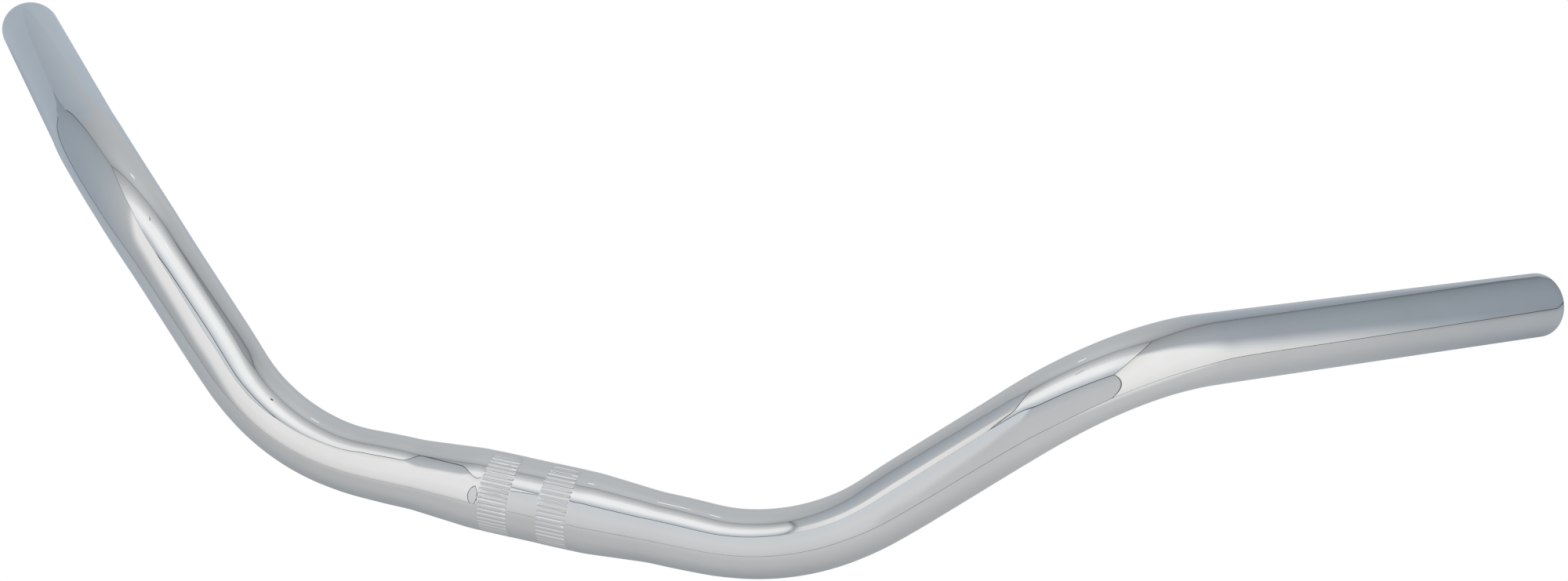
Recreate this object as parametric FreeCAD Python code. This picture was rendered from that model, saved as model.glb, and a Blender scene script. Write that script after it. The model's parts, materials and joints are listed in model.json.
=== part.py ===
import FreeCAD, Part
import math
import os

# A swept handlebar: one bent tube with a swollen, knurled middle for the stem to clamp.
#
# Millimetres. +X runs along the clamp axis to the rider's right, +Y back towards the rider, +Z up.
# The origin is the middle of the clamp swell, on the tube's axis. The bar lies as it rests on a table, on
# the underside of its swell and of its two open ends, with both bends arched clear.

# Tube
GRIP_DIAMETER = 22.2
CLAMP_DIAMETER = 25.4
WALL = 1.6
END_CHAMFER = 0.4

# Clamp swell: how far its full diameter and its tapers reach on each side of the middle
CLAMP_HALF_LENGTH = 19.0
TAPER_END = 39.5
TAPER_BLEND_RADIUS = 60.0

# Knurling: two bands of fine grooves along the tube, one on each side of the middle
KNURL_BAND_WIDTH = 9.8
KNURL_BAND_OFFSET = 9.6
KNURL_GROOVES = 50
KNURL_DEPTH = 0.25
KNURL_GROOVE_WIDTH = 0.7

# Centreline, as it is on a bicycle with the grips level: where the straight stretches would meet
CLAMP_CORNER_OUT = 86.0
RISE_CORNER_OUT = 170.0
RISE_CORNER_BACK = 26.0
RISE_HEIGHT = 73.5
END_OUT = 295.0
END_BACK = 182.5
CLAMP_BEND_RADIUS = 75.0
GRIP_BEND_RADIUS = 73.0

# The resting pitch is looked for between these, in degrees
LOWEST_PITCH = -45.0
HIGHEST_PITCH = 0.0
PITCH_TOLERANCE = 1e-9

# How close an edge's middle has to be to the centreline's end to count as one of its rims
RIM_TOLERANCE = 0.01

X_AXIS = FreeCAD.Vector(1, 0, 0)
ORIGIN = FreeCAD.Vector(0, 0, 0)


def pitched(point, angle):
    """A point turned about the clamp axis, nose up by this many degrees."""
    return FreeCAD.Rotation(X_AXIS, angle).multVec(point)


def level_corners():
    """The right half's three corners outside the swell, with the grips level."""
    return [
        FreeCAD.Vector(CLAMP_CORNER_OUT, 0, 0),
        FreeCAD.Vector(RISE_CORNER_OUT, RISE_CORNER_BACK, RISE_HEIGHT),
        FreeCAD.Vector(END_OUT, END_BACK, RISE_HEIGHT),
    ]


def end_clearance(angle):
    """How far the lowest point of an open end is above the table, at this pitch."""
    _, bend, end = [pitched(corner, angle) for corner in level_corners()]
    slope = (end - bend).normalize().z
    lowest = end.z - GRIP_DIAMETER / 2 * math.sqrt(1 - slope * slope)
    return lowest + CLAMP_DIAMETER / 2


def rest_pitch():
    """The pitch in degrees at which the ends and the swell all touch the table, by halving."""
    low, high = LOWEST_PITCH, HIGHEST_PITCH
    while high - low > PITCH_TOLERANCE:
        middle = (low + high) / 2
        if end_clearance(middle) > 0:
            high = middle
        else:
            low = middle
    return high


def bend_between(before, corner, after, radius):
    """The start, middle and end of the arc that rounds a corner, with the arc's centre and axis."""
    into = (corner - before).normalize()
    out = (after - corner).normalize()
    turn = into.getAngle(out)
    setback = radius * math.tan(turn / 2)
    start = corner - into * setback
    end = corner + out * setback
    inward = (out - into * into.dot(out)).normalize()
    centre = start + inward * radius
    return start, end, centre, into.cross(out).normalize(), math.degrees(turn)


def straight(start, end, radius):
    """A solid rod from start to end."""
    run = end - start
    return Part.makeCylinder(radius, run.Length, start, run)


def bent(start, centre, axis, turn, into, radius):
    """A solid rod bent round a centre, from a disc at start that faces along into."""
    disc = Part.Face(Part.Wire(Part.makeCircle(radius, start, into)))
    return disc.revolve(centre, axis, turn)


def swell(clamp_radius, grip_radius, half_length):
    """The turned middle: full diameter, rounded tapers and plain tube, out to half_length on each side."""
    outline = [
        FreeCAD.Vector(0, clamp_radius, 0),
        FreeCAD.Vector(CLAMP_HALF_LENGTH, clamp_radius, 0),
        FreeCAD.Vector(TAPER_END, grip_radius, 0),
        FreeCAD.Vector(half_length, grip_radius, 0),
    ]
    right = rounded_path(outline, TAPER_BLEND_RADIUS)
    left = [edge.mirror(ORIGIN, X_AXIS) for edge in right]
    foot = FreeCAD.Vector(half_length, 0, 0)
    left_top = FreeCAD.Vector(-half_length, grip_radius, 0)
    closing = Part.makePolygon([outline[-1], foot, -foot, left_top])
    profile = Part.Wire(Part.__sortEdges__(right + left + closing.Edges))
    return Part.Face(profile).revolve(ORIGIN, X_AXIS, 360)


def rounded_path(points, radius):
    """Lines through the points, with each inner corner rounded by an arc."""
    edges = []
    last = points[0]
    for before, corner, after in zip(points, points[1:], points[2:]):
        start, end, centre, _, _ = bend_between(before, corner, after, radius)
        crown = centre + (corner - centre).normalize() * radius
        edges.append(Part.makeLine(last, start))
        edges.append(Part.Arc(start, crown, end).toShape())
        last = end
    edges.append(Part.makeLine(last, points[-1]))
    return edges


def bar_core(corners, inset):
    """The whole bar as a solid rod, its surface inset from the outside by this much."""
    clamp_radius = CLAMP_DIAMETER / 2 - inset
    grip_radius = GRIP_DIAMETER / 2 - inset
    clamp_corner, rise_corner, end = corners
    start_1, end_1, centre_1, axis_1, turn_1 = bend_between(
        ORIGIN, clamp_corner, rise_corner, CLAMP_BEND_RADIUS
    )
    start_2, end_2, centre_2, axis_2, turn_2 = bend_between(
        clamp_corner, rise_corner, end, GRIP_BEND_RADIUS
    )
    right = [
        bent(start_1, centre_1, axis_1, turn_1, X_AXIS, grip_radius),
        straight(end_1, start_2, grip_radius),
        bent(start_2, centre_2, axis_2, turn_2, rise_corner - clamp_corner, grip_radius),
        straight(end_2, end, grip_radius),
    ]
    left = [piece.mirror(ORIGIN, X_AXIS) for piece in right]
    middle = swell(clamp_radius, grip_radius, start_1.x)
    return middle.multiFuse(right + left).removeSplitter()


def knurl_grooves():
    """Every groove of both knurl bands, as one compound of three-sided bars laid along the swell."""
    surface = CLAMP_DIAMETER / 2
    proud = KNURL_DEPTH
    half_width = KNURL_GROOVE_WIDTH / 2 * (KNURL_DEPTH + proud) / KNURL_DEPTH
    grooves = []
    for side in (-1, 1):
        start = side * KNURL_BAND_OFFSET - KNURL_BAND_WIDTH / 2
        section = Part.makePolygon([
            FreeCAD.Vector(start, 0, surface - KNURL_DEPTH),
            FreeCAD.Vector(start, half_width, surface + proud),
            FreeCAD.Vector(start, -half_width, surface + proud),
            FreeCAD.Vector(start, 0, surface - KNURL_DEPTH),
        ])
        groove = Part.Face(section).extrude(X_AXIS * KNURL_BAND_WIDTH)
        for number in range(KNURL_GROOVES):
            copy = groove.copy()
            copy.rotate(ORIGIN, X_AXIS, 360 * number / KNURL_GROOVES)
            grooves.append(copy)
    return Part.makeCompound(grooves)


def end_edges(tube, corners):
    """The rims at the two open ends, outside and inside: round edges centred on the centreline's ends."""
    right_end = corners[-1]
    left_end = FreeCAD.Vector(-right_end.x, right_end.y, right_end.z)
    rims = []
    for edge in tube.Edges:
        centre = edge.CenterOfMass
        if min(centre.distanceToPoint(right_end), centre.distanceToPoint(left_end)) < RIM_TOLERANCE:
            rims.append(edge)
    return rims


def bar_tube():
    """The finished tube: hollow, knurled and with its end edges broken."""
    corners = [pitched(corner, rest_pitch()) for corner in level_corners()]
    tube = bar_core(corners, 0).cut(bar_core(corners, WALL))
    tube = tube.makeChamfer(END_CHAMFER, end_edges(tube, corners))
    return tube.cut(knurl_grooves())


def main():
    os.makedirs("parts", exist_ok=True)
    tube = bar_tube()
    tube.exportStep("parts/bar_tube.step")
    box = tube.optimalBoundingBox(False, False)
    print("valid", tube.isValid(), "solids", len(tube.Solids), "faces", len(tube.Faces))
    print("box", box, "volume", tube.Volume)


main()
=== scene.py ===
import json
import math

import bpy
import numpy as np
from mathutils import Matrix, Vector


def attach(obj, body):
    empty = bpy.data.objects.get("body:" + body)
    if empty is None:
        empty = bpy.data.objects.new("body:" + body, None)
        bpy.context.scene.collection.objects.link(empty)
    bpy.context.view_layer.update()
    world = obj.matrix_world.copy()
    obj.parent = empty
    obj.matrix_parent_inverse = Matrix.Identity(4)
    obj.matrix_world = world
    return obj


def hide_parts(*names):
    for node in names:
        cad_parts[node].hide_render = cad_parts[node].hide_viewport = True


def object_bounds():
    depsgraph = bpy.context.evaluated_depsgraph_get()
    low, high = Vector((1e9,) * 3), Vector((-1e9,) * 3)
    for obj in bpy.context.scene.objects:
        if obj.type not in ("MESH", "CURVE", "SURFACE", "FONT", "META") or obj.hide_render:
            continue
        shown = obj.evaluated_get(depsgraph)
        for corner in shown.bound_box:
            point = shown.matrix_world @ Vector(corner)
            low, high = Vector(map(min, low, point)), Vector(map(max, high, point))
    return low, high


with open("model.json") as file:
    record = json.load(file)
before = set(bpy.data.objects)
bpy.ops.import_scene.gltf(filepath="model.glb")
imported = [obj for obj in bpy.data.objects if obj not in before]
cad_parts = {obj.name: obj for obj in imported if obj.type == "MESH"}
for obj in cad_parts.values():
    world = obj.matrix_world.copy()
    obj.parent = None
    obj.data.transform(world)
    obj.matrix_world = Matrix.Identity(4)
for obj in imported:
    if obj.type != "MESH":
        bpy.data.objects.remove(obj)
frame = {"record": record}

# A chrome-plated handlebar lying on a white floor, inside a light tent shaped like a box. The tent is
# fitted to one photograph's reflections. It isn't plain studio light.
#
# Metres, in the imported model's frame: +X along the clamp axis to the rider's right, +Y back towards
# the rider, +Z up, origin in the middle of the clamp swell. The tube is one closed mesh. Its outside,
# its two rims and its inside are rings of points swept along the bar's centreline.

CAD_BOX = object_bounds()
MOUNTS = {mount["name"]: mount for mount in frame["record"]["mounts"]}
MILLIMETRE = 0.001

# Tube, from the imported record
CLAMP_RADIUS = MOUNTS["stem_clamp"]["dims"]["r_mm"] * MILLIMETRE
GRIP_RADIUS = MOUNTS["right_grip"]["dims"]["r_mm"] * MILLIMETRE
WALL = GRIP_RADIUS - MOUNTS["right_end_bore"]["dims"]["r_mm"] * MILLIMETRE
RIM_ROUNDING = 0.0004

# Clamp swell: how far its full diameter and its tapers reach on each side of the middle
CLAMP_HALF_LENGTH = 0.0190
TAPER_END = 0.0395
TAPER_BLEND_RADIUS = 0.060

# Centreline: the X of the three points where its straight stretches would meet or end, and its bends
CLAMP_CORNER_OUT = 0.086
RISE_CORNER_OUT = 0.170
END_OUT = 0.295
CLAMP_BEND_RADIUS = 0.075
GRIP_BEND_RADIUS = 0.073

# Bending squeezes the tube in the plane of each bend, by a share of its radius, and widens it across
# that plane by this much of the squeeze. The squeeze comes and goes over a ramp this long each way.
CLAMP_BEND_SQUEEZE = 0.044
GRIP_BEND_SQUEEZE = 0.028
WIDENING = 0.8
SQUEEZE_RAMP = 0.012

# Knurling: two bands of pressed grooves along the tube, one on each side of the middle
KNURL_BAND_WIDTH = 0.0098
KNURL_BAND_OFFSET = 0.0096
KNURL_GROOVES = 50
KNURL_DEPTH = 0.00025
KNURL_GROOVE_WIDTH = 0.0007
KNURL_LIP = 0.00004

# One groove's section, in groove widths: how wide its hollow is, and where its lip is and how wide
GROOVE_SPREAD = 0.4
LIP_AT = 0.8
LIP_SPREAD = 0.3

# How far a groove may be off its place, in pitches, and how much its depth may differ from the rest
KNURL_JITTER = 0.05
KNURL_UNEVENNESS = 0.25

# Grooves run out over this length inside each end of a band, with one plain ring this far outside it
KNURL_RUNOUT = 0.0004
KNURL_MARGIN = 0.0003

# Mesh: points around the tube, around its inside and across one groove and its ridge
AROUND = 100
AROUND_INSIDE = 50
STEPS_PER_GROOVE = 24

# Mesh: how far apart the rings are along each stretch, and how far the finer rings of the swell and of
# the second bend reach past their ends
SWELL_SPACING = 0.001
BEND_SPACING = 0.0015
RISE_SPACING = 0.0018
PLAIN_SPACING = 0.004
KNURL_SPACING = 0.0022
RUNOUT_STEPS = 4
SWELL_MARGIN = 0.004
BEND_MARGIN = 1.2 * SQUEEZE_RAMP
RIM_ANGLES = (30, 60, 90)

RNG = np.random.default_rng(22)


# ---------------------------------------------------------------- centreline


def unit(vector):
    return vector / np.linalg.norm(vector)


def on_grip_line(out):
    """The point of the right grip's axis this far out along X."""
    grip = MOUNTS["right_grip"]
    position, axis = np.array(grip["pos_m"]), np.array(grip["axis"])
    return position + axis * (out - position[0]) / axis[0]


def bend_at(before, corner, after, radius):
    """The arc that rounds a corner of the centreline."""
    into, out = unit(corner - before), unit(after - corner)
    turn = math.acos(into @ out)
    setback = radius * math.tan(turn / 2)
    start = corner - into * setback
    inward = unit(out - into * (into @ out))
    return {
        "start": start,
        "end": corner + out * setback,
        "into": into,
        "inward": inward,
        "centre": start + inward * radius,
        "radius": radius,
        "length": radius * turn,
    }


CLAMP_CORNER = np.array([CLAMP_CORNER_OUT, 0.0, 0.0])
RISE_CORNER = on_grip_line(RISE_CORNER_OUT)
RIGHT_END = on_grip_line(END_OUT)
BEND_1 = bend_at(np.zeros(3), CLAMP_CORNER, RISE_CORNER, CLAMP_BEND_RADIUS)
BEND_2 = bend_at(CLAMP_CORNER, RISE_CORNER, RIGHT_END, GRIP_BEND_RADIUS)

# Distances along the centreline from the middle to where each stretch of the right half starts
BEND_1_FROM = BEND_1["start"][0]
RISE_FROM = BEND_1_FROM + BEND_1["length"]
BEND_2_FROM = RISE_FROM + np.linalg.norm(BEND_2["start"] - BEND_1["end"])
GRIP_FROM = BEND_2_FROM + BEND_2["length"]
HALF_LENGTH = GRIP_FROM + np.linalg.norm(RIGHT_END - BEND_2["end"])


def around_bend(bend, travelled):
    """The point, the direction along the tube and the direction to the bend's centre, part way round."""
    angle = travelled / bend["radius"]
    along = bend["into"] * math.cos(angle) + bend["inward"] * math.sin(angle)
    to_centre = bend["inward"] * math.cos(angle) - bend["into"] * math.sin(angle)
    return bend["centre"] - to_centre * bend["radius"], along, to_centre


def right_half(distance):
    """The centreline's point, its direction and the nearest bend's inward direction, at this distance."""
    if distance < BEND_1_FROM:
        return np.array([distance, 0.0, 0.0]), BEND_1["into"], BEND_1["inward"]
    if distance < RISE_FROM:
        return around_bend(BEND_1, distance - BEND_1_FROM)
    if distance < BEND_2_FROM:
        nearest = BEND_1 if distance < (RISE_FROM + BEND_2_FROM) / 2 else BEND_2
        travelled = BEND_1["length"] if nearest is BEND_1 else 0.0
        _, along, to_centre = around_bend(nearest, travelled)
        return BEND_1["end"] + along * (distance - RISE_FROM), along, to_centre
    if distance < GRIP_FROM:
        return around_bend(BEND_2, distance - BEND_2_FROM)
    _, along, to_centre = around_bend(BEND_2, BEND_2["length"])
    return BEND_2["end"] + along * (distance - GRIP_FROM), along, to_centre


def centreline(distance):
    """The same for the whole bar: distance is negative on the left, and directions run left to right."""
    point, along, to_centre = right_half(abs(distance))
    if distance >= 0:
        return point, along, to_centre
    mirror = np.array([-1.0, 1.0, 1.0])
    return point * mirror, -along * mirror, to_centre * mirror


# ---------------------------------------------------------------- tube surface


def smooth_step(value):
    """0 below 0, 1 above 1, and an even ease between."""
    value = np.clip(value, 0.0, 1.0)
    return value * value * (3 - 2 * value)


def swell_radius(distance):
    """The tube's outside radius near the middle, with both corners of the taper rounded by an arc."""
    reach = abs(distance)
    slope = (CLAMP_RADIUS - GRIP_RADIUS) / (TAPER_END - CLAMP_HALF_LENGTH)
    angle = math.atan(slope)
    setback = TAPER_BLEND_RADIUS * math.tan(angle / 2)
    arc_length = TAPER_BLEND_RADIUS * math.sin(angle)
    shoulder_from = CLAMP_HALF_LENGTH - setback
    foot_to = TAPER_END + setback
    if reach < shoulder_from:
        return CLAMP_RADIUS
    if reach < shoulder_from + arc_length:
        return CLAMP_RADIUS - arc_drop(reach - shoulder_from)
    if reach < foot_to - arc_length:
        return CLAMP_RADIUS - slope * (reach - CLAMP_HALF_LENGTH)
    if reach < foot_to:
        return GRIP_RADIUS + arc_drop(foot_to - reach)
    return GRIP_RADIUS


def arc_drop(run):
    """How far a taper's blend arc has left its tangent after running this far along it."""
    return TAPER_BLEND_RADIUS - math.sqrt(TAPER_BLEND_RADIUS**2 - run**2)


def squeeze(distance):
    """How much the tube is flattened here by bending, as a share of its radius."""
    reach = abs(distance)
    total = 0.0
    for start, end, share in (
        (BEND_1_FROM, RISE_FROM, CLAMP_BEND_SQUEEZE),
        (BEND_2_FROM, GRIP_FROM, GRIP_BEND_SQUEEZE),
    ):
        entering = smooth_step((reach - start) / (2 * SQUEEZE_RAMP) + 0.5)
        leaving = smooth_step((end - reach) / (2 * SQUEEZE_RAMP) + 0.5)
        total += share * entering * leaving
    return total


def ring(distance, inset, count, relief=None):
    """Points round the tube at one place, inset from its outside, with relief added to the radius."""
    point, along, to_centre = centreline(distance)
    up = unit(np.array([0.0, 0.0, 1.0]) - along * along[2])
    side = np.cross(along, up)
    angles = np.arange(count) * 2 * math.pi / count
    outward = np.outer(np.cos(angles), up) + np.outer(np.sin(angles), side)
    flat = squeeze(distance)
    across = outward @ to_centre
    stretch = 1 + WIDENING * flat - (1 + WIDENING) * flat * across**2
    radius = (swell_radius(distance) - inset) * stretch
    if relief is not None:
        radius = radius + relief
    return point + outward * radius[:, None]


def groove_relief():
    """One knurl band's relief all the way round: rounded grooves with raised lips, no two alike."""
    pitch = 2 * math.pi * CLAMP_RADIUS / KNURL_GROOVES
    place = np.arange(KNURL_GROOVES * STEPS_PER_GROOVE) / STEPS_PER_GROOVE
    nearest = np.floor(place + 0.5).astype(int)
    shift = RNG.uniform(-KNURL_JITTER, KNURL_JITTER, KNURL_GROOVES)
    strength = RNG.uniform(1 - KNURL_UNEVENNESS, 1 + KNURL_UNEVENNESS, KNURL_GROOVES)
    number = nearest % KNURL_GROOVES
    from_groove = np.abs(place - nearest - shift[number]) * pitch / KNURL_GROOVE_WIDTH
    groove = -KNURL_DEPTH * np.exp(-((from_groove / GROOVE_SPREAD) ** 2))
    lip = KNURL_LIP * np.exp(-(((from_groove - LIP_AT) / LIP_SPREAD) ** 2))
    return (groove + lip) * strength[number]


def knurl_strength(distance, band_middle):
    """1 inside a knurl band, easing to 0 just inside its ends."""
    inside = KNURL_BAND_WIDTH / 2 - abs(distance - band_middle)
    return float(smooth_step(inside / KNURL_RUNOUT))


def spaced(start, end, spacing):
    """Distances from start up to but not including end, about this far apart."""
    count = max(1, round((end - start) / spacing))
    return list(np.linspace(start, end, count, endpoint=False))


def plain_stations():
    """Where the rings of the plain tube go on the right half, from the knurl band to the end."""
    band_end = KNURL_BAND_OFFSET + KNURL_BAND_WIDTH / 2
    swell_end = TAPER_END + SWELL_MARGIN
    bends_end = GRIP_FROM + BEND_MARGIN
    rim_from = HALF_LENGTH - RIM_ROUNDING
    stations = spaced(band_end + KNURL_RUNOUT, swell_end, SWELL_SPACING)
    stations += spaced(swell_end, RISE_FROM, BEND_SPACING)
    stations += spaced(RISE_FROM, BEND_2_FROM, RISE_SPACING)
    stations += spaced(BEND_2_FROM, bends_end, BEND_SPACING)
    stations += spaced(bends_end, rim_from, PLAIN_SPACING)
    return stations + [rim_from]


def knurl_band_rings(band_middle):
    """The rings of one knurl band, left to right."""
    relief = groove_relief()
    half = KNURL_BAND_WIDTH / 2
    start, end = band_middle - half, band_middle + half
    runout_spacing = KNURL_RUNOUT / RUNOUT_STEPS
    stations = [start - KNURL_MARGIN]
    stations += spaced(start, start + KNURL_RUNOUT, runout_spacing)
    stations += spaced(start + KNURL_RUNOUT, end - KNURL_RUNOUT, KNURL_SPACING)
    stations += spaced(end - KNURL_RUNOUT, end, runout_spacing)
    stations += [end, end + KNURL_MARGIN]
    rings = []
    for distance in stations:
        strength = knurl_strength(distance, band_middle)
        rings.append(ring(distance, 0, len(relief), relief * strength))
    return rings


def outside_rings():
    """Every ring of the tube's outside, left to right."""
    right = plain_stations()
    left = [-distance for distance in reversed(right)]
    rings = [ring(distance, 0, AROUND) for distance in left]
    rings += knurl_band_rings(-KNURL_BAND_OFFSET)
    rings += knurl_band_rings(KNURL_BAND_OFFSET)
    rings += [ring(distance, 0, AROUND) for distance in right]
    return rings


def rim_rings(side):
    """A deburred rim: outer edge rounded, flat cut face, inner edge rounded. From outside to inside."""
    outer, inner = [], []
    for angle in RIM_ANGLES:
        inset = RIM_ROUNDING * (1 - math.cos(math.radians(angle)))
        back = RIM_ROUNDING * (1 - math.sin(math.radians(angle)))
        distance = side * (HALF_LENGTH - back)
        outer.append(ring(distance, inset, AROUND))
        inner.append(ring(distance, WALL - inset, AROUND))
    return outer + inner[::-1]


def inside_rings():
    """The rings of the tube's inside, right to left."""
    inner_end = HALF_LENGTH - RIM_ROUNDING
    stations = spaced(-inner_end, inner_end, PLAIN_SPACING) + [inner_end]
    return [ring(distance, WALL, AROUND_INSIDE) for distance in reversed(stations)]


def bridge(first, second):
    """Faces between two rings of point numbers, one of which may have several times as many points."""
    count = min(len(first), len(second))
    first_step, second_step = len(first) // count, len(second) // count
    faces = []
    for index in range(count):
        there = [first[(index * first_step + step) % len(first)] for step in range(first_step + 1)]
        back = [second[(index * second_step + step) % len(second)] for step in range(second_step + 1)]
        faces.append(there + back[::-1])
    return faces


def tube_mesh():
    """The whole tube as one closed mesh. Its second material is on the faces of the inside."""
    loops = outside_rings() + rim_rings(1)
    inside_from = len(loops) - 1
    loops += inside_rings()
    inside_to = len(loops)
    loops += rim_rings(-1)[::-1]
    numbers, total = [], 0
    for points in loops:
        numbers.append(list(range(total, total + len(points))))
        total += len(points)
    faces, materials = [], []
    for index, first in enumerate(numbers):
        made = bridge(first, numbers[(index + 1) % len(numbers)])
        faces += made
        materials += [1 if inside_from <= index < inside_to else 0] * len(made)
    mesh = bpy.data.meshes.new("bar_tube")
    mesh.from_pydata(np.vstack(loops).tolist(), [], faces)
    mesh.polygons.foreach_set("use_smooth", [True] * len(faces))
    mesh.polygons.foreach_set("material_index", materials)
    mesh.validate()
    mesh.update()
    return mesh


def make_tube():
    """The visible tube with its two materials: plating outside, bare steel inside."""
    tube = bpy.data.objects.new("chromed_tube", tube_mesh())
    bpy.context.scene.collection.objects.link(tube)
    tube.data.materials.append(chrome_plate())
    tube.data.materials.append(bare_inside())
    return tube


# ---------------------------------------------------------------- materials

# Colours that the metal mirrors with
CHROME = (0.80, 0.80, 0.80)
CHROME_SMUDGED = (0.77, 0.77, 0.765)
BARE_STEEL = (0.36, 0.35, 0.34)
STAINED_STEEL = (0.19, 0.17, 0.15)

# How many clouds of each kind there are to a metre
SMUDGE_SCALE = 38
WAVE_SCALE = 60
STAIN_SCALE = 90

# How high the polishing waves and the inside's scale stand
WAVE_HEIGHT = 0.00002
STAIN_HEIGHT = 0.00008


def new_material(name):
    """A metal with nothing in its node tree but its shader and output."""
    material = bpy.data.materials.new(name)
    material.use_nodes = True
    nodes, links = material.node_tree.nodes, material.node_tree.links
    nodes.clear()
    shader = nodes.new("ShaderNodeBsdfPrincipled")
    output = nodes.new("ShaderNodeOutputMaterial")
    shader.inputs["Metallic"].default_value = 1.0
    links.new(shader.outputs["BSDF"], output.inputs["Surface"])
    return material, nodes, links, shader


def noise(nodes, links, place, scale, detail, roughness=0.5):
    """Cloudy noise over the piece's own coordinates."""
    made = nodes.new("ShaderNodeTexNoise")
    made.inputs["Scale"].default_value = scale
    made.inputs["Detail"].default_value = detail
    made.inputs["Roughness"].default_value = roughness
    links.new(place.outputs["Object"], made.inputs["Vector"])
    return made.outputs["Fac"]


def remap(nodes, links, value, low, high, to_low, to_high):
    """value from low to high becomes to_low to to_high, and stops there."""
    made = nodes.new("ShaderNodeMapRange")
    made.inputs["From Min"].default_value = low
    made.inputs["From Max"].default_value = high
    made.inputs["To Min"].default_value = to_low
    made.inputs["To Max"].default_value = to_high
    links.new(value, made.inputs["Value"])
    return made.outputs["Result"]


def blend_colours(nodes, links, share, first, second):
    """first where share is 0, second where it is 1."""
    made = nodes.new("ShaderNodeMix")
    made.data_type = "RGBA"
    made.inputs["A"].default_value = (*first, 1)
    made.inputs["B"].default_value = (*second, 1)
    links.new(share, made.inputs["Factor"])
    return made.outputs["Result"]


def bump(nodes, links, height, distance):
    """Surface directions for a height from 0 to 1 that stands this far proud at 1."""
    made = nodes.new("ShaderNodeBump")
    made.inputs["Strength"].default_value = 1.0
    made.inputs["Distance"].default_value = distance
    links.new(height, made.inputs["Height"])
    return made.outputs["Normal"]


def chrome_plate():
    """Mirror plating over polished steel, with faint handling smudges and polishing waves."""
    material, nodes, links, shader = new_material("chrome_plate")
    place = nodes.new("ShaderNodeTexCoord")
    smudges = noise(nodes, links, place, SMUDGE_SCALE, 3, 0.6)
    smudged = remap(nodes, links, smudges, 0.35, 0.75, 0, 1)
    colour = blend_colours(nodes, links, smudged, CHROME, CHROME_SMUDGED)
    haze = remap(nodes, links, smudges, 0.5, 0.75, 0.02, 0.07)
    waves = noise(nodes, links, place, WAVE_SCALE, 1)
    links.new(colour, shader.inputs["Base Color"])
    links.new(haze, shader.inputs["Roughness"])
    links.new(bump(nodes, links, waves, WAVE_HEIGHT), shader.inputs["Normal"])
    return material


def bare_inside():
    """The unplated inside of the tube: dull drawn steel with darker stains."""
    material, nodes, links, shader = new_material("bare_steel")
    place = nodes.new("ShaderNodeTexCoord")
    stains = noise(nodes, links, place, STAIN_SCALE, 5, 0.65)
    stained = remap(nodes, links, stains, 0.4, 0.65, 0, 1)
    colour = blend_colours(nodes, links, stained, BARE_STEEL, STAINED_STEEL)
    dullness = remap(nodes, links, stains, 0.3, 0.7, 0.38, 0.6)
    links.new(colour, shader.inputs["Base Color"])
    links.new(dullness, shader.inputs["Roughness"])
    links.new(bump(nodes, links, stains, STAIN_HEIGHT), shader.inputs["Normal"])
    return material


# ---------------------------------------------------------------- light tent

# The tent is a box of white cloth round the bar. It is turned a little to the bar, and stands on the
# floor that the bar lies on. Its walls glow unevenly, as cloth lit by lamps outside does. Below, x, y
# and z are shares of its width, depth and height, from 0 at the left, front and floor to 1. Light is
# given as it looks in the chrome: a level from 0 to 255, and its blue less its red.
#
# The tent itself isn't in the photograph. Its box, its bends and its hems were fitted so that the bar
# mirrors their edges where the photograph shows edges. Its levels are tones measured on the photographed
# bar, traced back to the walls and taken as medians over parts of each wall. They were rounded to these
# few stops and adjusted against renders.
FLOOR_Z = CAD_BOX[0].z
TENT_TURN = math.radians(17.0)
TENT_LOW = Vector((-0.466, -0.448, FLOOR_Z))
TENT_HIGH = Vector((0.530, 0.565, 1.012))
WALL_STEPS = 110

# The bar's soft shadow on the tent's floor, which a formula gives and no lamp casts: how dark and how
# blue it is at most, how wide it spreads for the height it falls from, and how many places cast it
FLOOR_SHADE = 0.25
FLOOR_SHADE_BLUE = 8
FLOOR_SHADE_SPREAD = 1.2
SHADE_PLACES = 160

# How far the front wall leans in at its top left and stands out at its bottom left
FRONT_LEAN = 0.08
FRONT_CORNER_OUT = 0.155

# How far the front wall's top sags, from which share of its width on, over how much of that width, and
# how much less it sags at the far right
FRONT_SAG = 0.22
FRONT_SAG_AT = 0.25
FRONT_SAG_SOFTNESS = 0.3
FRONT_SAG_EASING = 0.35

# How far the left wall's bottom bows in over its back part, and the shares of its depth where that
# starts and is greatest
HEM_BOW = 0.125
HEM_BOW_FROM = 0.5
HEM_BOW_PEAK = 0.765

# How thick the dark hems are, and where two of the back left corner's hems stop short of it
SEAM_WIDTH = 0.012
LOW_SEAM_WIDTH = 0.007
FRONT_TOP_SEAM_WIDTH = 0.03
SEAM_STEPS = 40
LEFT_HEM_TO = 0.83
LEFT_POST_FROM = 0.05
HEM_LEVEL = 85
HEM_BLUE = 4

# Just inside a wall, for what is laid over it
LAID_ON = 0.998

# Three small marks in the reflections, laid over the walls: a dark slit and a lit gap in the ceiling, and
# a hot spot on the back wall. What they really are isn't known. The slit isn't where the camera looks in.
# Shares of the tent's sides, thicknesses and levels
SLIT_X = (0.468, 0.512)
SLIT_Y = (0.546, 0.625)
SLIT_WIDTH = 0.008
SLIT_LEVEL = 50
GAP_X = (0.560, 0.574)
GAP_Y = (0.470, 0.505)
GAP_WIDTH = 0.012
LAMP_X = (0.45, 0.49)
LAMP_Z = 0.6
LAMP_WIDTH = 0.03
LAMP_LEVEL = 252


def glow(level, blue=0.0):
    """The light that looks this bright and this blue in the chrome, undoing the screen's own curve."""
    shown = np.stack([level - blue / 2, level, level + blue / 2], axis=-1) / 255
    return np.where(shown < 0.04045, shown / 12.92, ((shown + 0.055) / 1.055) ** 2.4) / CHROME[1]


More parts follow.
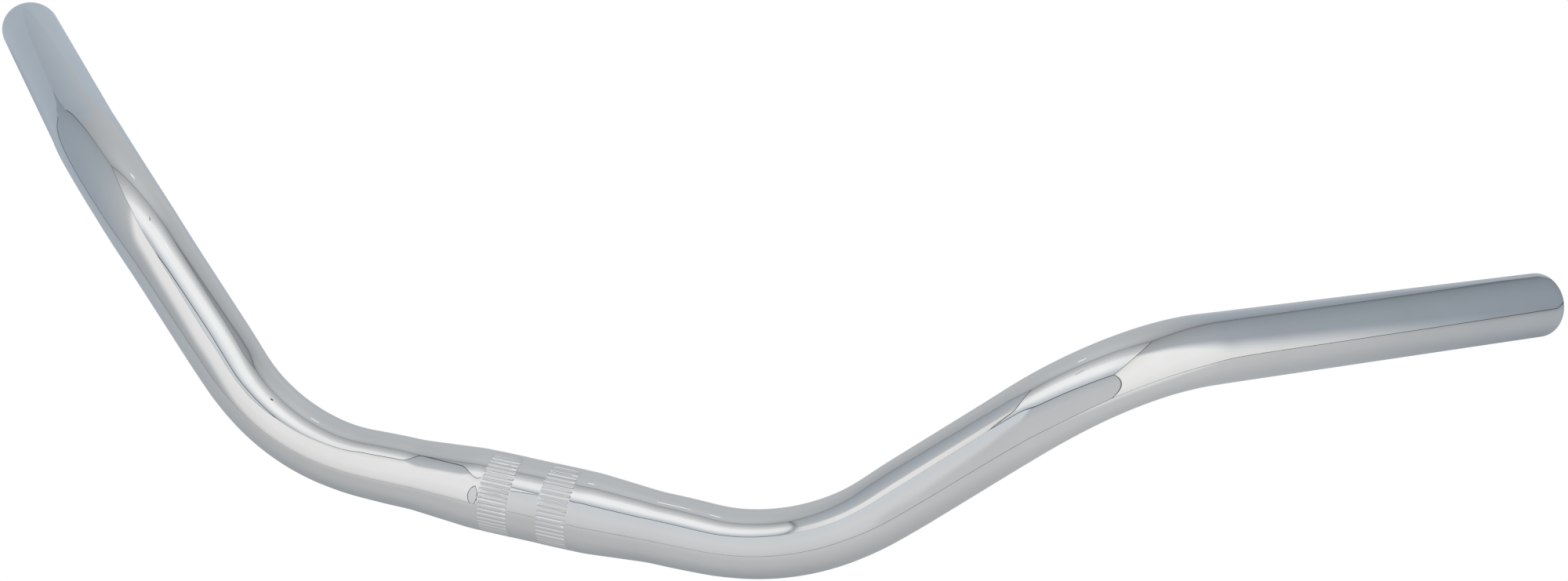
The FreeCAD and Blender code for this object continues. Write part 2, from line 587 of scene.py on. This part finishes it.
def across(value, *stops):
    """Straight runs through (place, level) stops."""
    places, levels = zip(*stops)
    return np.interp(value, places, levels)


def edge(value, middle, softness):
    """0 before a soft edge and 1 after it."""
    return smooth_step((value - middle) / softness + 0.5)


def mixed(first, second, share):
    """first where share is 0, second where it is 1."""
    return first * (1 - share) + second * share


def left_wall(y, z):
    """Brightly lit towards the front, shaded and bluer towards the back."""
    lit = across(z, (0, 198), (0.1, 216), (0.4, 226), (0.8, 228), (1, 214))
    shaded = across(y, (0.35, 184), (0.6, 172), (0.85, 162), (1, 152))
    shaded = shaded + across(z, (0, -14), (0.3, -6), (0.8, 2))
    blue = across(z, (0, 18), (0.4, 12), (0.7, 9), (1, 7)) * edge(y, 0.5, 0.5)
    share = edge(y, 0.36, 0.12)
    return glow(mixed(lit, shaded, share), mixed(0, blue + 4, share))


def right_wall(y, z):
    """Like the left wall, but darker at its back."""
    lit = across(z, (0, 220), (0.2, 230), (0.5, 235), (0.8, 230), (1, 215))
    shaded = across(y, (0.45, 176), (0.7, 160), (0.9, 150), (1, 132))
    shaded = shaded + across(z, (0, -24), (0.25, -5), (0.6, 0))
    blue = across(z, (0, 18), (0.3, 14), (0.6, 8), (1, 5))
    share = edge(y, 0.46, 0.14)
    return glow(mixed(lit, shaded, share), mixed(-1, blue, share))


def front_wall(x, z):
    """A bright left part and a dimmer right part, which starts further left the higher it is."""
    bright = across(z, (0, 194), (0.15, 201), (0.4, 206), (1, 204))
    dim = across(z, (0, 190), (0.5, 188), (0.8, 180), (1, 172))
    blue = across(z, (0, 2), (0.5, 4), (0.8, 10))
    return glow(mixed(bright, dim, edge(x, 0.62 - 0.33 * z, 0.05)), blue)


def back_wall(x, z):
    """Brightest in its middle, and bluer low down at both sides."""
    level = across(x, (0, 162), (0.15, 172), (0.35, 183), (0.55, 187), (0.75, 178), (0.9, 164), (1, 148))
    level = level + across(z, (0, -4), (0.3, -3), (0.6, 4), (0.8, 2), (1, -8))
    low_sides = edge(np.abs(x - 0.5), 0.3, 0.1) * edge(-z, -0.25, 0.2)
    return glow(level, 6 + 12 * low_sides)


def tent_floor(x, y):
    """Painted light: pale in front with a lit patch at its right, greyer and bluer behind, and the bar's
    painted shadow.
    """
    back = across(x, (0, 164), (0.2, 174), (0.45, 179), (0.7, 174), (0.88, 163), (1, 128))
    back_blue = across(x, (0, 20), (0.25, 18), (0.4, 8), (0.6, 8), (0.8, 15), (1, 18))
    # Painted light: a lit patch on the floor's front right
    painted_lit_patch = edge(x, 0.8, 0.15) * edge(-np.abs(y - 0.22), -0.14, 0.1)
    back_share = edge(y - 0.07 * edge(x, 0.65, 0.2), 0.42, 0.16)
    level = mixed(190 + 25 * painted_lit_patch, back, back_share)
    blue = mixed(2, back_blue, edge(y, 0.54, 0.24))
    # Painted shadow: the bar's shade, given by a formula and cast by no lamp
    shade = bar_shade(in_tent(x, y, 0))
    return glow(level * (1 - FLOOR_SHADE * shade), blue + FLOOR_SHADE_BLUE * shade)


def bar_shade(places):
    """How much the bar shades the floor at each place: most right under it, less where it is higher up."""
    shade = np.zeros(len(places))
    for distance in np.linspace(-HALF_LENGTH, HALF_LENGTH, SHADE_PLACES):
        middle = centreline(distance)[0]
        height = middle[2] - FLOOR_Z
        away = np.hypot(places[:, 0] - middle[0], places[:, 1] - middle[1])
        fading = np.exp(-((away / height / FLOOR_SHADE_SPREAD) ** 2))
        shade = np.maximum(shade, GRIP_RADIUS / height * fading)
    return shade


def ceiling(x, y):
    """Brightest a third of the way back, and a little dimmer at both sides."""
    front = across(y, (0, 190), (0.1, 202), (0.2, 226), (0.32, 240))
    back = across(y, (0.32, 240), (0.5, 236), (0.62, 210), (0.8, 184), (1, 164))
    sides = edge(np.abs(x - 0.5), 0.35, 0.3)
    blue = across(y, (0, 11), (0.15, 9), (0.35, 1), (0.8, 3), (1, 6))
    return glow(np.minimum(front, back) - 10 * sides, blue)


def in_tent(right, back, up):
    """Places in the model's frame from shares of the tent's sides. The cloth hangs a little askew."""
    right, back, up = np.broadcast_arrays(right, back, up)
    x = mixed(TENT_LOW.x, TENT_HIGH.x, right)
    y = mixed(TENT_LOW.y, TENT_HIGH.y, back)
    z = mixed(TENT_LOW.z, TENT_HIGH.z, up)
    left, front, down = 1 - right, 1 - back, 1 - up
    y = y + (FRONT_LEAN * up - FRONT_CORNER_OUT * down) * front * left
    sag = edge(right, FRONT_SAG_AT, FRONT_SAG_SOFTNESS) * (1 - FRONT_SAG_EASING * right)
    z = z - FRONT_SAG * sag * front**3 * up
    rising = smooth_step((back - HEM_BOW_FROM) / (HEM_BOW_PEAK - HEM_BOW_FROM))
    bowed = np.minimum(rising, (1 - back) / (1 - HEM_BOW_PEAK))
    x = x + HEM_BOW * bowed * left * down**6
    turned_x = x * math.cos(TENT_TURN) - y * math.sin(TENT_TURN)
    turned_y = x * math.sin(TENT_TURN) + y * math.cos(TENT_TURN)
    return np.column_stack([turned_x.ravel(), turned_y.ravel(), z.ravel()])


def glowing_cloth():
    """Gives out the light that its mesh's points hold."""
    material = bpy.data.materials.new("tent_cloth")
    material.use_nodes = True
    nodes, links = material.node_tree.nodes, material.node_tree.links
    nodes.clear()
    light = nodes.new("ShaderNodeAttribute")
    light.attribute_name = "light"
    emission = nodes.new("ShaderNodeEmission")
    output = nodes.new("ShaderNodeOutputMaterial")
    links.new(light.outputs["Color"], emission.inputs["Color"])
    links.new(emission.outputs["Emission"], output.inputs["Surface"])
    material.cycles.emission_sampling = "NONE"
    return material


def make_wall(name, place, light, cloth):
    """One side of the tent. place(u, v) is a point on it and light(u, v) its glow."""
    steps = np.linspace(0, 1, WALL_STEPS + 1)
    u, v = (share.ravel() for share in np.meshgrid(steps, steps))
    row = WALL_STEPS + 1
    faces = [
        (start, start + 1, start + row + 1, start + row)
        for line in range(WALL_STEPS)
        for start in range(line * row, line * row + WALL_STEPS)
    ]
    wall = reflected_mesh(name, place(u, v), faces, cloth)
    colours = wall.attributes.new("light", "FLOAT_COLOR", "POINT")
    colours.data.foreach_set("color", np.column_stack([light(u, v), np.ones(len(u))]).ravel())


def make_seam(name, place, width, material):
    """A square bar along the line that place(share) follows, such as a hem on an edge of the tent."""
    middles = place(np.linspace(0, 1, SEAM_STEPS + 1))
    along = Vector(middles[-1] - middles[0]).normalized()
    side = along.orthogonal().normalized()
    other = along.cross(side)
    corners = [(side * a + other * b) * width / 2 for a, b in ((-1, -1), (1, -1), (1, 1), (-1, 1))]
    points = [Vector(middle) + corner for middle in middles for corner in corners]
    faces = []
    for first in range(0, 4 * SEAM_STEPS, 4):
        for here, after in ((0, 1), (1, 2), (2, 3), (3, 0)):
            faces.append((first + here, first + after, first + after + 4, first + here + 4))
    reflected_mesh(name, points, faces, material)


def reflected_mesh(name, points, faces, material):
    """Something that the bar mirrors and the camera doesn't see."""
    mesh = bpy.data.meshes.new(name)
    mesh.from_pydata([tuple(point) for point in points], [], faces)
    mesh.materials.append(material)
    thing = bpy.data.objects.new(name, mesh)
    bpy.context.scene.collection.objects.link(thing)
    thing.visible_camera = False
    thing.visible_shadow = False
    return mesh


def plain_glow(name, level, blue=0.0):
    """A material that gives out one even light."""
    material = bpy.data.materials.new(name)
    material.use_nodes = True
    nodes, links = material.node_tree.nodes, material.node_tree.links
    nodes.clear()
    emission = nodes.new("ShaderNodeEmission")
    emission.inputs["Color"].default_value = (*glow(np.float64(level), blue), 1)
    output = nodes.new("ShaderNodeOutputMaterial")
    links.new(emission.outputs["Emission"], output.inputs["Surface"])
    material.cycles.emission_sampling = "NONE"
    return material


def make_tent():
    """The six sides, the hems along their edges and what is laid over them."""
    cloth = glowing_cloth()
    make_wall("tent_left", lambda u, v: in_tent(0, u, v), left_wall, cloth)
    make_wall("tent_right", lambda u, v: in_tent(1, u, v), right_wall, cloth)
    make_wall("tent_front", lambda u, v: in_tent(u, 0, v), front_wall, cloth)
    make_wall("tent_back", lambda u, v: in_tent(u, 1, v), back_wall, cloth)
    make_wall("tent_floor", lambda u, v: in_tent(u, v, 0), tent_floor, cloth)
    make_wall("tent_ceiling", lambda u, v: in_tent(u, v, 1), ceiling, cloth)
    hem = plain_glow("tent_hem", HEM_LEVEL, HEM_BLUE)
    make_seam("hem_left_low", lambda t: in_tent(0, t * LEFT_HEM_TO, 0), LOW_SEAM_WIDTH, hem)
    make_seam("hem_left_high", lambda t: in_tent(0, t, 1), SEAM_WIDTH, hem)
    make_seam("hem_right_low", lambda t: in_tent(1, t, 0), LOW_SEAM_WIDTH, hem)
    make_seam("hem_right_high", lambda t: in_tent(1, t, 1), SEAM_WIDTH, hem)
    make_seam("hem_front_low", lambda t: in_tent(t, 0, 0), SEAM_WIDTH, hem)
    make_seam("hem_front_high", lambda t: in_tent(t, 0, 1), FRONT_TOP_SEAM_WIDTH, hem)
    make_seam("hem_back_high", lambda t: in_tent(t, 1, 1), SEAM_WIDTH, hem)
    for side, right in (("left", 0), ("right", 1)):
        make_seam(f"post_front_{side}", lambda t: in_tent(right, 0, t), LOW_SEAM_WIDTH, hem)
    make_seam("post_back_left", lambda t: in_tent(0, 1, mixed(LEFT_POST_FROM, 1, t)), SEAM_WIDTH, hem)
    make_seam("post_back_right", lambda t: in_tent(1, 1, t), SEAM_WIDTH, hem)
    make_openings()


def make_openings():
    """The dark slit, the lit gap beside it and the hot spot."""
    dark = plain_glow("slit_dark", SLIT_LEVEL, HEM_BLUE)
    bright = plain_glow("lamp_white", LAMP_LEVEL)
    make_seam("slit", lambda t: in_tent(mixed(*SLIT_X, t), mixed(*SLIT_Y, t), LAID_ON), SLIT_WIDTH, dark)
    make_seam("slit_gap", lambda t: in_tent(mixed(*GAP_X, t), mixed(*GAP_Y, t), LAID_ON), GAP_WIDTH, bright)
    make_seam("lamp", lambda t: in_tent(mixed(*LAMP_X, t), LAID_ON, LAMP_Z), LAMP_WIDTH, bright)


# ---------------------------------------------------------------- floor, surroundings and camera

FLOOR_SIZE = 12.0

# The camera, as fitted to the bar's outline in the photograph with the lens's axis through its middle
CAMERA_AT = Vector((0.222878, -0.487326, 0.508788))
CAMERA_AZIMUTH = math.radians(16.3456)
CAMERA_ELEVATION = math.radians(38.6305)
CAMERA_ROLL = math.radians(0.6620)
CAMERA_LENS = 53.9144
SENSOR_WIDTH = 36.0


def make_floor():
    """The white sheet that the camera sees the bar lie on."""
    material = bpy.data.materials.new("white_sheet")
    material.use_nodes = True
    nodes, links = material.node_tree.nodes, material.node_tree.links
    nodes.clear()
    emission = nodes.new("ShaderNodeEmission")
    output = nodes.new("ShaderNodeOutputMaterial")
    emission.inputs["Color"].default_value = (1, 1, 1, 1)
    links.new(emission.outputs["Emission"], output.inputs["Surface"])
    material.cycles.emission_sampling = "NONE"
    half = FLOOR_SIZE / 2
    mesh = bpy.data.meshes.new("floor")
    mesh.from_pydata(
        [(-half, -half, FLOOR_Z), (half, -half, FLOOR_Z), (half, half, FLOOR_Z), (-half, half, FLOOR_Z)],
        [],
        [(0, 1, 2, 3)],
    )
    mesh.materials.append(material)
    floor = bpy.data.objects.new("floor", mesh)
    bpy.context.scene.collection.objects.link(floor)
    floor.visible_glossy = False
    floor.visible_diffuse = False


def make_world():
    """White all round, so that a low view has no horizon."""
    world = bpy.data.worlds.new("white")
    world.use_nodes = True
    world.node_tree.nodes["Background"].inputs["Color"].default_value = (1, 1, 1, 1)
    bpy.context.scene.world = world


def make_camera():
    """In front of the bar and above it, looking down and to the left."""
    data = bpy.data.cameras.new("camera")
    data.lens = CAMERA_LENS
    data.sensor_width = SENSOR_WIDTH
    data.clip_start = 0.01
    camera = bpy.data.objects.new("camera", data)
    bpy.context.scene.collection.objects.link(camera)
    turned = Matrix.Rotation(CAMERA_AZIMUTH, 4, "Z")
    tilted = Matrix.Rotation(math.pi / 2 - CAMERA_ELEVATION, 4, "X")
    rolled = Matrix.Rotation(CAMERA_ROLL, 4, "Z")
    camera.matrix_world = Matrix.Translation(CAMERA_AT) @ turned @ tilted @ rolled
    bpy.context.scene.camera = camera


def plain_display():
    """Colours are shown as they are, with no film curve."""
    view = bpy.context.scene.view_settings
    view.view_transform = "Standard"
    view.look = "None"
    view.exposure = 0.0
    view.gamma = 1.0


bar = make_tube()
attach(bar, "root")
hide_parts("bar_tube")
make_tent()
make_floor()
make_world()
make_camera()
plain_display()
